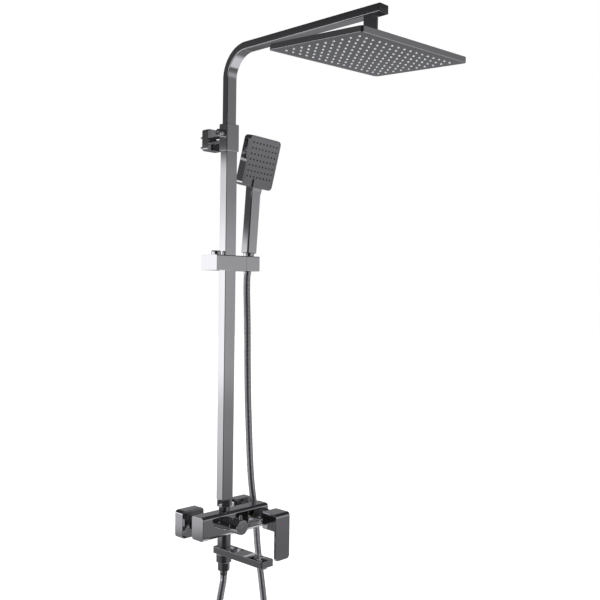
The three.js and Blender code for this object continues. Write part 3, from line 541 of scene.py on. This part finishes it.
def wall_cover(name, node, x, z, width, height, depth, corner, hole):
    half_width, half_height = width / 2, height / 2
    shell = block((x - half_width, -depth, z - half_height), (x + half_width, 0, z + half_height), corner, axis=1)
    half_width, half_height = half_width - COVER_WALL, half_height - COVER_WALL
    inside = block((x - half_width, COVER_WALL - depth, z - half_height), (x + half_width, 5, z + half_height),
                   corner - COVER_WALL, axis=1)
    subtract(shell, inside, drill(hole, (x, 0, z), "out", depth - 10, depth + 5))
    return finish_piece(shell, name, [node], edge=1.3, segments=3)


for side, x in (("left", -INLET_OFFSET), ("right", INLET_OFFSET)):
    wall_cover(f"cover_{side}", f"wall_flange_{side}", x, 0, 60, 60, 26, 7, 12.7)
    union = lathe([(10.4, -16), (10.4, 1), (12.4, 1), (12.4, 43.8)], (x, 0, 0), "out")
    finish_piece(union, f"union_{side}", [f"wall_union_{side}"], edge=0.4)
    nut = hexagon(28, 31, 47, (x, 0, 0), "out")
    finish_piece(nut, f"inlet_nut_{side}", [f"union_nut_{side}"], edge=0.5)

# %% [markdown]
# ## The mixer body
#
# One long bar with softly rounded edges. Its ends are flat with a narrow polished edge, and two round bosses stand on
# its front: the bonnet that covers the cartridge, and the sleeve of the diverter.

# %% The bar and the bonnet
bar = block((-97, -85.3, -26), (97, -47.3, 26), corner=7, axis=0, segments=10)
finish_piece(bar, "mixer_bar", ["mixer_body"], edge=1.4, segments=4)
bonnet = lathe([(17.6, 85.6), (19, 85.6), (19, 94.3), (17.2, 98.4), (12.5, 102.3), (11.1, 102.3), (15.8, 96.5),
                (17.6, 94.3), (17.6, 85.6)], CARTRIDGE, "out", hollow=True)
finish_piece(bonnet, "bonnet", ["cartridge_bonnet"], edge=0.3)

# %% The diverter
sleeve = ring(14.5, 12.3, 85.6, 100, DIVERTER, "out")
finish_piece(sleeve, "diverter_ring", ["diverter_sleeve"], edge=0.3)
knob = lathe([(16.5, 100.3), (16.5, 101.8), (16.1, 102.2), (16.1, 103), (16.5, 103.4), (16.5, 124.4), (15.9, 125.6),
              (15, 126), (2.2, 126), (1.9, 125.6)], DIVERTER, "out", sides=72)
finish_piece(knob, "diverter_cap", ["diverter_knob"], edge=0.25)
pin = lathe([(3.6, 11.8), (3.6, 23.6), (3.1, 25), (2.1, 25.5)], (-20, -119, 0), "up", sides=48)
finish_piece(pin, "diverter_peg", ["diverter_pin"], edge=0.3)

# %% [markdown]
# ## The lever
#
# The lever is cast in one piece: a square hub that sits on the spindle, and a thin plate that hangs from its front.
# It is shaped as a block is: the hub is divided behind the plate, the strip underneath is pulled down, and then the
# long front edge and the two lower corners are rounded off.

# %% The lever
HUB_LOW, HUB_HIGH = (56.5, -152, -20), (99.5, -108, 18)
PLATE_BACK, PLATE_DROP = -145.5, 66
lever = block(HUB_LOW, HUB_HIGH)
alone(lever)
bpy.ops.object.mode_set(mode="EDIT")
bpy.ops.mesh.select_all(action="SELECT")
bpy.ops.mesh.bisect(plane_co=(0, PLATE_BACK * MM, 0), plane_no=(0, 1, 0))
pick(lever, lambda face: face.normal.z < -0.9 and face.calc_center_median().y < (PLATE_BACK - 0.1) * MM)
bpy.ops.mesh.extrude_region_move(TRANSFORM_OT_translate={"value": (0, 0, -PLATE_DROP * MM)})


def lever_edges(axis, low, high):
    """A test for edges along one axis that start inside a box, given in millimetres."""
    def test(edge):
        start = edge.verts[0].co / MM
        return along(axis)(edge) and all(least < part < most for least, part, most in zip(low, start, high))
    return test


FAR = 1000
pick(lever, lever_edges(0, (-FAR, -FAR, 17), (FAR, -151, FAR)), "EDGE")
bpy.ops.mesh.bevel(offset=9 * MM, segments=12, affect="EDGES")
pick(lever, lever_edges(1, (-FAR, -FAR, -FAR), (FAR, FAR, -85)), "EDGE")
bpy.ops.mesh.bevel(offset=8 * MM, segments=10, affect="EDGES")
pick(lever, lever_edges(0, (-FAR, -146, -20.1), (FAR, -140, -19.9)), "EDGE")
bpy.ops.mesh.bevel(offset=2.5 * MM, segments=6, affect="EDGES")
bpy.ops.object.mode_set(mode="OBJECT")
finish_piece(lever, "lever_plate", ["lever_handle"], edge=1.3, segments=4)

# %% [markdown]
# ## The hot and cold mark
#
# Two small enamel dots on the front of the hub show which way is hot. Each is a thin turned disc.

# %% Hot and cold mark on the lever
mark_red = plain_finish("enamel_red", (0.55, 0.03, 0.03), 0, 0.3)
mark_blue = plain_finish("enamel_blue", (0.03, 0.1, 0.5), 0, 0.3)
for name, x, enamel in (("mark_hot", 75.4, mark_red), ("mark_cold", 80.6, mark_blue)):
    dot = lathe([(1.7, 151.7), (1.7, 152.02), (1.3, 152.1)], (x, 0, -3), "out", sides=32)
    vary(enamel, 300, 0.25, 0.4, 0.02)
    finish_piece(dot, name, ["lever_handle"], edge=0, finish=enamel)

# %% [markdown]
# ## Spout, outlet and riser fittings
#
# Below the bar hangs a short pillar that carries the swivel spout, and under it the outlet to the hose. Above it the
# riser stands on a neck and a nut. All of these are turned, apart from the spout, which is a flat bar.

# %% Spout and aerator
spout = block((-37.5, -204, -68.2), (-2.5, -49, -53.4), corner=3, axis=2)
subtract(spout, drill(11.3, COLUMN, "up", -72, -50), drill(9.3, AERATOR, "up", -72, -59))
finish_piece(spout, "spout_bar", ["spout"], edge=0.8, segments=4)
AERATOR_RING = [(6, -73.2), (8.6, -73.2), (9, -72.8), (9, -61), (6, -61), (6, -64), (7.4, -64), (7.4, -71),
                (6, -73.2)]
nozzle = lathe(AERATOR_RING, AERATOR, "up", hollow=True)
finish_piece(nozzle, "aerator_ring", ["spout_aerator"], edge=0.2)
mesh_disc = lathe([(7.2, -70.6), (7.2, -69.6), (5, -69.4)], AERATOR, "up", sides=48)
finish_piece(mesh_disc, "aerator_screen", ["spout_aerator"], edge=0, finish=white_plastic)

# %% Pillar and hose outlet
pillar = lathe([(9.3, -96.8), (9.3, -68.5), (11, -68.5), (11, -53.1), (14.7, -53.1), (14.7, -26.3)],
               COLUMN, "up")
finish_piece(pillar, "pillar", ["spout_pillar"], edge=0.3)
collar = ring(16.7, 9.6, -87, -68.5, COLUMN)
finish_piece(collar, "outlet_ring", ["outlet_collar"], edge=0.8)
nut = hexagon(23, -106.3, -87.3, COLUMN)
finish_piece(nut, "outlet_nut", ["hose_nut"], edge=0.5)
ferrule = lathe([(8.2, -116.3), (8.2, -109), (7.8, -108.6), (7.8, -107.4), (8.2, -107), (8.2, -99.4)],
                COLUMN)
finish_piece(ferrule, "ferrule_lower", ["hose_ferrule_lower"], edge=0.3)

# %% The foot of the riser
neck = lathe([(12.5, 26.3), (12.5, 35.4), (11.9, 36)], COLUMN)
finish_piece(neck, "neck_ring", ["riser_neck"], edge=0.3)
nut = hexagon(29, 36.3, 51.5, COLUMN)
finish_piece(nut, "foot_nut", ["riser_nut"], edge=0.5)

# %% [markdown]
# ## The telescopic riser
#
# Two rectangular tubes slide one in the other. The upper one is bent forward over a round former, so it is made the
# same way: its section is drawn once, pulled up, spun through a quarter turn and pulled forward.

# %% The lower tube
tube = block((-35.5, -77, 51.8), (-4.5, -56, 838), corner=2, axis=2, segments=6)
subtract(tube, block((-33.5, -75, 40), (-6.5, -58, 850), corner=0.6, axis=2, segments=3))
finish_piece(tube, "riser_lower", ["riser_tube"], edge=0.3)

# %% The bent upper tube
TUBE_WIDTH, TUBE_DEPTH, TUBE_CORNER = 26.4, 16.4, 1.8
TUBE_FOOT, BEND_START, BEND_RADIUS, ARM_END = 648, 968.8, 61, -483.5
column_x, column_y = COLUMN[:2]
bpy.ops.object.select_all(action="DESELECT")
bpy.ops.mesh.primitive_plane_add(size=1, location=(column_x * MM, column_y * MM, TUBE_FOOT * MM))
arm = bpy.context.object
arm.scale = (TUBE_WIDTH * MM, TUBE_DEPTH * MM, 1)
bpy.ops.object.transform_apply(location=True, rotation=True, scale=True)
bpy.ops.object.mode_set(mode="EDIT")
bpy.ops.mesh.select_all(action="SELECT")
bpy.ops.mesh.bevel(offset=TUBE_CORNER * MM, segments=6, affect="VERTICES")
bpy.ops.mesh.select_all(action="SELECT")
bpy.ops.mesh.extrude_region_move(TRANSFORM_OT_translate={"value": (0, 0, (BEND_START - TUBE_FOOT) * MM)})
bend_centre = (column_x * MM, (column_y - BEND_RADIUS) * MM, BEND_START * MM)
bpy.ops.mesh.spin(steps=48, angle=math.radians(90), center=bend_centre, axis=(-1, 0, 0))
level_run = (ARM_END - column_y + BEND_RADIUS) * MM
bpy.ops.mesh.extrude_region_move(TRANSFORM_OT_translate={"value": (0, level_run, 0)})
bpy.ops.object.mode_set(mode="OBJECT")
finish_piece(arm, "riser_upper", ["riser_arm"], edge=0)
print("upper tube reaches up to", round(max(vertex.co.z for vertex in arm.data.vertices), 4))
cap = block((-33.2, -485.8, 1021.6), (-6.8, -483.8, 1038), corner=TUBE_CORNER, axis=1, segments=6)
finish_piece(cap, "arm_cap", ["arm_end_cap"], edge=0.4)

# %% [markdown]
# ## The upper bracket
#
# A collar clamps the two tubes together with a small grooved knob, and a stem behind it reaches back to the wall.

# %% Collar and knob
BRACKET_Z, LOCK_Z = 843, 851
grip = block((-38.2, -79.7, 814), (-1.8, -53.3, 872), corner=3, axis=2, segments=8)
subtract(grip, block((-35.8, -77.3, 800), (-4.2, -55.7, 838.3), corner=2, axis=2),
         block((-33.5, -75, 830), (-6.5, -58, 880), corner=1.8, axis=2))
finish_piece(grip, "clamp_collar", ["bracket_collar"], edge=0.8)
lock = lathe([(3, -33.5), (3, -38.5), (7.4, -38.5), (8, -39.1), (8, -42), (7.5, -42.4), (7.5, -43.2), (8, -43.6),
              (8, -48), (7.5, -48.4), (7.5, -49.2), (8, -49.6), (8, -52.4), (7, -53.5), (2, -53.5), (1.6, -53.1)],
             (0, column_y, LOCK_Z), "right")
finish_piece(lock, "clamp_knob", ["bracket_lock_knob"], edge=0.15, segments=2)

# %% Stem and cover
wall_cover("bracket_cover", "bracket_flange", column_x, BRACKET_Z, 42, 47, 20, 5, 8.3)
stem = lathe([(8, 3.3), (8, 53)], (column_x, 0, BRACKET_Z), "out")
finish_piece(stem, "bracket_arm", ["bracket_stem"], edge=0.4)

# %% [markdown]
# ## The slider and the holder
#
# The slider grips the riser and carries the holder on a pivot, with a fine seam between the two. A round button on
# top frees it.

# %% The slider
BUTTON = (-51, -64, 0)
slide = block((-68.5, -86.5, 554.5), (18.7, -35.5, 587.5), corner=2, axis=0, segments=6)
subtract(slide, block((-35.8, -77.3, 540), (-4.2, -55.7, 600), corner=2, axis=2),
         drill(10.8, BUTTON, "up", 575.5, 600))
finish_piece(slide, "slide_block", ["slider_body"], edge=0.6)

# %% The holder and its tapered seat
SEAT_FRAME = (Matrix.Translation((40 * MM, -68 * MM, 571 * MM)) @ Matrix.Rotation(math.radians(4.5), 4, "Y")
              @ Matrix.Rotation(math.radians(-6), 4, "Z"))
CONE_LOW, CONE_HIGH, CONE_LOW_RADIUS, CONE_HIGH_RADIUS = -14, 24, 9.5, 12.6
SEAT_REACH, SEAT_CLEARANCE = 33, 0.3


def cone_radius(level):
    slope = (CONE_HIGH_RADIUS - CONE_LOW_RADIUS) / (CONE_HIGH - CONE_LOW)
    return CONE_LOW_RADIUS + slope * (level - CONE_LOW)


cradle = block((19, -86.5, 554.5), (58.5, -35.5, 587.5), corner=2, axis=0, segments=6)
seat_drill = lathe([(cone_radius(level) + SEAT_CLEARANCE, level) for level in (-SEAT_REACH, SEAT_REACH)], sides=64)
seat_drill.data.transform(SEAT_FRAME)
subtract(cradle, seat_drill)
finish_piece(cradle, "holder_block", ["holder"], edge=0.6)

# %% The button
press = lathe([(10.5, 580), (10.5, 594.4), (10.1, 595.8), (9, 597), (8, 596.6)], BUTTON)
finish_piece(press, "slide_button", ["slider_button"], edge=0.3)

# %% [markdown]
# ## The hand shower
#
# A square handle with soft edges runs into a rectangular spray head that is tipped forward. The handle laps over the
# lower edge of the face as a short tongue. The blocks are joined with booleans, then the whole skin is given one
# small round, which is what makes a plated plastic moulding look moulded.

# %% Hand shower shell
HAND_HEAD = (Matrix.Translation((0, -12 * MM, 227 * MM)) @ Matrix.Rotation(math.radians(13.5), 4, "X"))


def head_block(width, low, high, back, front, corner):
    made = block((-width / 2, -front, low), (width / 2, -back, high), corner, axis=1, segments=8)
    made.data.transform(HAND_HEAD)
    return made


shell = block((-13, -13, 24.3), (13, 13, 199), corner=4, axis=2, segments=8)
unite(shell, head_block(84, -56, 56, -12.5, 12.5, 9))
subtract(shell, head_block(78, -53, 53, -9.5, 17, 6))
unite(shell, head_block(26, -70, -53, 0, 16, 4), head_block(26, -70, -36, 12.8, 16, 4))
finish_piece(shell, "hand_shell", ["hand_shower_shell"], edge=0.9, segments=3, frame_turn=SEAT_FRAME)

# %% Spray face, cone nut and ferrule
face = head_block(77.4, -52.7, 52.7, 10.3, 12.5, 5.7)
finish_piece(face, "hand_face", ["hand_shower_face"], edge=0.5, frame_turn=SEAT_FRAME)
cone = lathe([(CONE_LOW_RADIUS, CONE_LOW), (12.2, 22.4), (12.2, 22.9), (CONE_HIGH_RADIUS, 23.3),
              (CONE_HIGH_RADIUS, CONE_HIGH)])
finish_piece(cone, "cone_nut", ["hose_cone_nut"], edge=0.3, frame_turn=SEAT_FRAME)
ferrule = lathe([(8.2, -24.3), (8.2, -17.6), (7.8, -17.2), (7.8, -16.4), (8.2, -16), (8.2, -14.3)])
finish_piece(ferrule, "ferrule_upper", ["hose_ferrule_upper"], edge=0.3, frame_turn=SEAT_FRAME)

# %% [markdown]
# ## Spray nozzles
#
# Both faces carry rows of soft nozzles. One is turned, then Array modifiers repeat it in both directions, so that
# every nozzle has exactly the same shape and spacing.

# %% Nozzle grids
def nozzle_grid(name, tip, columns, rows, step_x, step_z, flat, turn, node, finish):
    """Nozzles in columns and rows on a flat, centred on it, then turned into place."""
    made = lathe(tip, sides=12)
    first = (-(columns - 1) / 2 * step_x * MM, -(rows - 1) / 2 * step_z * MM, 0)
    made.data.transform(Matrix.Translation(first))
    for count, offset in ((columns, (step_x * MM, 0, 0)), (rows, (0, step_z * MM, 0))):
        repeat = made.modifiers.new("row", "ARRAY")
        repeat.count = count
        repeat.use_relative_offset = False
        repeat.use_constant_offset = True
        repeat.constant_offset_displace = offset
    apply_all(made)
    made.data.transform(flat)
    return finish_piece(made, name, [node], edge=0, frame_turn=turn, finish=finish)


HAND_TIP = [(2.1, 12), (2.1, 12.6), (1.9, 12.9), (1.2, 12.9), (0.9, 12.7)]
above_middle = Matrix.Translation((0, 4 * MM, 0))
facing_out = HAND_HEAD @ Matrix.Rotation(math.radians(90), 4, "X") @ above_middle
nozzle_grid("hand_nozzles", HAND_TIP, 8, 7, 9.2, 12.4, facing_out, SEAT_FRAME, "hand_nozzle_mat", dark_silicone)

# %% [markdown]
# ## The rain head
#
# The head is a thin pressed box: a skin with turned-down sides, a face plate set a little inside the rim, and a low
# cone on top for the ball joint. In the photo the rim catches a thin bright line, which stays dark in this lighting.

# %% Skin and face plate
BALL_Z = 976
HEAD_FRAME = (Matrix.Translation((BALL[0] * MM, BALL[1] * MM, BALL_Z * MM))
              @ Matrix.Rotation(math.radians(2.9), 4, "X") @ Matrix.Rotation(math.radians(-2.3), 4, "Y"))
skin = block((-157, -110, -28), (157, 110, -17), corner=8, axis=2, segments=10)
hump = lathe([(30, -17.6), (30, -17), (20, -13), (19.4, -13)])
unite(skin, hump)
subtract(skin, block((-155, -108, -30), (155, 108, -19), corner=6, axis=2, segments=8))
finish_piece(skin, "head_skin", ["head_shell"], edge=0.8, segments=3, frame_turn=HEAD_FRAME)
plate = block((-154.7, -107.7, -27.8), (154.7, 107.7, -25.8), corner=5.7, axis=2, segments=8)
finish_piece(plate, "head_plate", ["head_face"], edge=0.6, segments=3, frame_turn=HEAD_FRAME)

# %% Nozzles and centre screw
RAIN_TIP = [(2.4, -27), (2.2, -27.9), (1.8, -28.7), (1.3, -28.9), (0.9, -28.6)]
nozzle_grid("head_nozzles", RAIN_TIP, 16, 10, 17.9, 19, Matrix.Identity(4), HEAD_FRAME, "head_nozzle_mat",
            pale_silicone)
screw = lathe([(4, -20), (4, -28), (3.5, -28.6), (2, -28.8), (1.8, -28)], sides=40)
finish_piece(screw, "head_screw", ["head_centre_screw"], edge=0.15, frame_turn=HEAD_FRAME)

# %% [markdown]
# ## The ball joint
#
# The head hangs on a ball under the arm. The ball sits in a round bowl, closed by a ring with a lip, so both the bowl
# and the ball are turned from points on a circle.

# %% Bowl, ring, nut and ball
BALL_RADIUS, BOWL_RADIUS, NECK_RADIUS = 11, 13, 5.5


def on_circle(radius, degrees, middle=0):
    """A lathe station on a sphere, the angle counted up from its lowest point."""
    return radius * math.sin(math.radians(degrees)), middle - radius * math.cos(math.radians(degrees))


bowl = [on_circle(BOWL_RADIUS, degrees) for degrees in range(90, 29, -6)]
cup = lathe([(6, -12.7), (17, -12.7), (17, 0), *bowl, (6, -11.5), (6, -12.7)], hollow=True)
finish_piece(cup, "joint_cup", ["head_socket"], edge=0.5, frame_turn=HEAD_FRAME)
cup_ring = lathe([(13, 0.3), (17, 0.3), (17, 5.9), (16.2, 7), (9.5, 7), (12.4, 3.5), (13, 0.3)], hollow=True)
finish_piece(cup_ring, "joint_ring", ["head_socket_ring"], edge=0.3, frame_turn=HEAD_FRAME)
nut = hexagon(25, 996, 1021.3, BALL)
finish_piece(nut, "joint_nut", ["ball_nut"], edge=0.5)
arc = [on_circle(BALL_RADIUS, degrees, BALL_Z) for degrees in range(6, 151, 6)]
ball = lathe([*arc, (NECK_RADIUS, 985.6), (NECK_RADIUS, 1028.8)], BALL, sides=48)
finish_piece(ball, "joint_ball", ["ball_stud"], edge=0)

# %% [markdown]
# ## The metal hose
#
# A shower hose is a strip of metal wound into a tube, so its skin is a row of small rounded rings that slide in one
# another. It hangs from the foot of the hand shower, makes one loop under the mixer and comes back up to the outlet.
# The route is one smooth curve through measured points. A tube is laid along it whose radius rises and falls once
# per ring, which is far cheaper than modelling five hundred rings.

# %% The hose's route
HOSE_ROUTE = [
    (38.05, -68, 546.4), (37, -68.2, 532), (36.7, -68.6, 510), (37.6, -69, 480), (39.3, -69, 440),
    (41.5, -68, 400), (44.2, -66, 355), (47.5, -64, 310), (52, -61, 264), (57.5, -58, 217),
    (63.5, -54.5, 172), (71, -50, 125), (80, -45, 78), (91.5, -40, 34), (101.5, -37.8, -4),
    (106.5, -37.5, -48), (111, -38, -90), (115, -41, -130), (118.5, -45, -170), (121.5, -49, -210),
    (124, -53, -250), (125.5, -57, -292), (126, -60, -334), (126, -62.5, -372), (123.7, -64.5, -407),
    (116.5, -65.8, -438), (99.5, -66.4, -464), (74.5, -66.5, -481), (45.5, -66.5, -486.5),
    (15, -66.5, -481.5), (-11, -66.5, -465), (-29, -66.5, -439), (-37.5, -66.5, -407), (-40.5, -66.5, -368),
    (-41, -66.5, -326), (-40, -66.5, -284), (-37.8, -66.5, -244), (-34.5, -66.5, -206),
    (-30, -66.5, -170), (-24.2, -66.5, -145), (-20.4, -66.5, -126.5), (-20, -66.5, -117.2),
]


# %% A smooth curve through the points
def smooth_route(points, per_span=40):
    """A centripetal Catmull-Rom curve: it passes through every point and never loops back."""
    padded = [points[0] * 2 - points[1], *points, points[-1] * 2 - points[-2]]
    route = []
    for before, first, second, after in zip(padded, padded[1:], padded[2:], padded[3:]):
        gap_a, gap_b, gap_c = ((first - before).length ** 0.5, (second - first).length ** 0.5,
                               (after - second).length ** 0.5)
        leave = ((first - before) / gap_a - (second - before) / (gap_a + gap_b) + (second - first) / gap_b) * gap_b
        arrive = ((second - first) / gap_b - (after - first) / (gap_b + gap_c) + (after - second) / gap_c) * gap_b
        cubic, square = 2 * (first - second) + leave + arrive, 3 * (second - first) - 2 * leave - arrive
        for step in range(per_span):
            share = step / per_span
            route.append(((cubic * share + square) * share + leave) * share + first)
    return [*route, points[-1]]


def even_points(route, distances):
    """The points at given distances along a route."""
    found, travelled, index = [], 0.0, 0
    for distance in distances:
        while index < len(route) - 2 and travelled + (route[index + 1] - route[index]).length < distance:
            travelled += (route[index + 1] - route[index]).length
            index += 1
        span = route[index + 1] - route[index]
        found.append(route[index] + span * ((distance - travelled) / span.length))
    return found


route = smooth_route([Vector(point) * MM for point in HOSE_ROUTE])
hose_length = sum((second - first).length for first, second in zip(route, route[1:]))
print("hose length", round(hose_length, 4), "m")

# %% One profile for every ring
RING_PITCH = 2.9 * MM
GROOVE_RADIUS = 6.9
RING_PROFILE = [(0.0, GROOVE_RADIUS), (0.14, 7.42), (0.5, 7.5), (0.86, 7.42)]    # (share of the pitch, radius)
rings = int(hose_length / RING_PITCH)
pitch = hose_length / rings
stations = [((number + share) * pitch, radius * MM) for number in range(rings) for share, radius in RING_PROFILE]
stations.append((hose_length, GROOVE_RADIUS * MM))
centres = even_points(route, [distance for distance, radius in stations])
print(rings, "rings,", len(stations), "stations")

# %% The ringed tube
SIDES = 18
mesh = bmesh.new()
side = Vector((1, 0, 0))
loops = []
turns = [2 * math.pi * step / SIDES for step in range(SIDES)]
for number, (centre, (distance, radius)) in enumerate(zip(centres, stations)):
    ahead = (centres[min(number + 1, len(centres) - 1)] - centres[max(number - 1, 0)]).normalized()
    side = (side - ahead * side.dot(ahead)).normalized()
    across = ahead.cross(side)
    loops.append([mesh.verts.new(centre + radius * (side * math.cos(turn) + across * math.sin(turn)))
                  for turn in turns])
for first, second in zip(loops, loops[1:]):
    for step in range(SIDES):
        after = (step + 1) % SIDES
        mesh.faces.new((first[step], first[after], second[after], second[step]))
mesh.faces.new(loops[0][::-1])
mesh.faces.new(loops[-1])
bmesh.ops.recalc_face_normals(mesh, faces=mesh.faces)
hose_mesh = bpy.data.meshes.new("metal_hose")
mesh.to_mesh(hose_mesh)
mesh.free()
print("hose has", len(hose_mesh.polygons), "faces")

# %% [markdown]
# ## The hose and its path
#
# The ringed tube becomes the hose: it is shaded smooth, wears the hose steel and takes the place of the CAD hose.
# Its route is then divided into three hundred equal steps.

hose = bpy.data.objects.new("metal_hose", hose_mesh)
bpy.context.scene.collection.objects.link(hose)
alone(hose)
bpy.ops.object.shade_smooth_by_angle(angle=math.radians(50))
hose.data.materials.append(hose_steel)
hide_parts("shower_hose")
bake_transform(hose)
PATH_STEPS = 300
path = even_points(route, [hose_length * step / PATH_STEPS for step in range(PATH_STEPS + 1)])
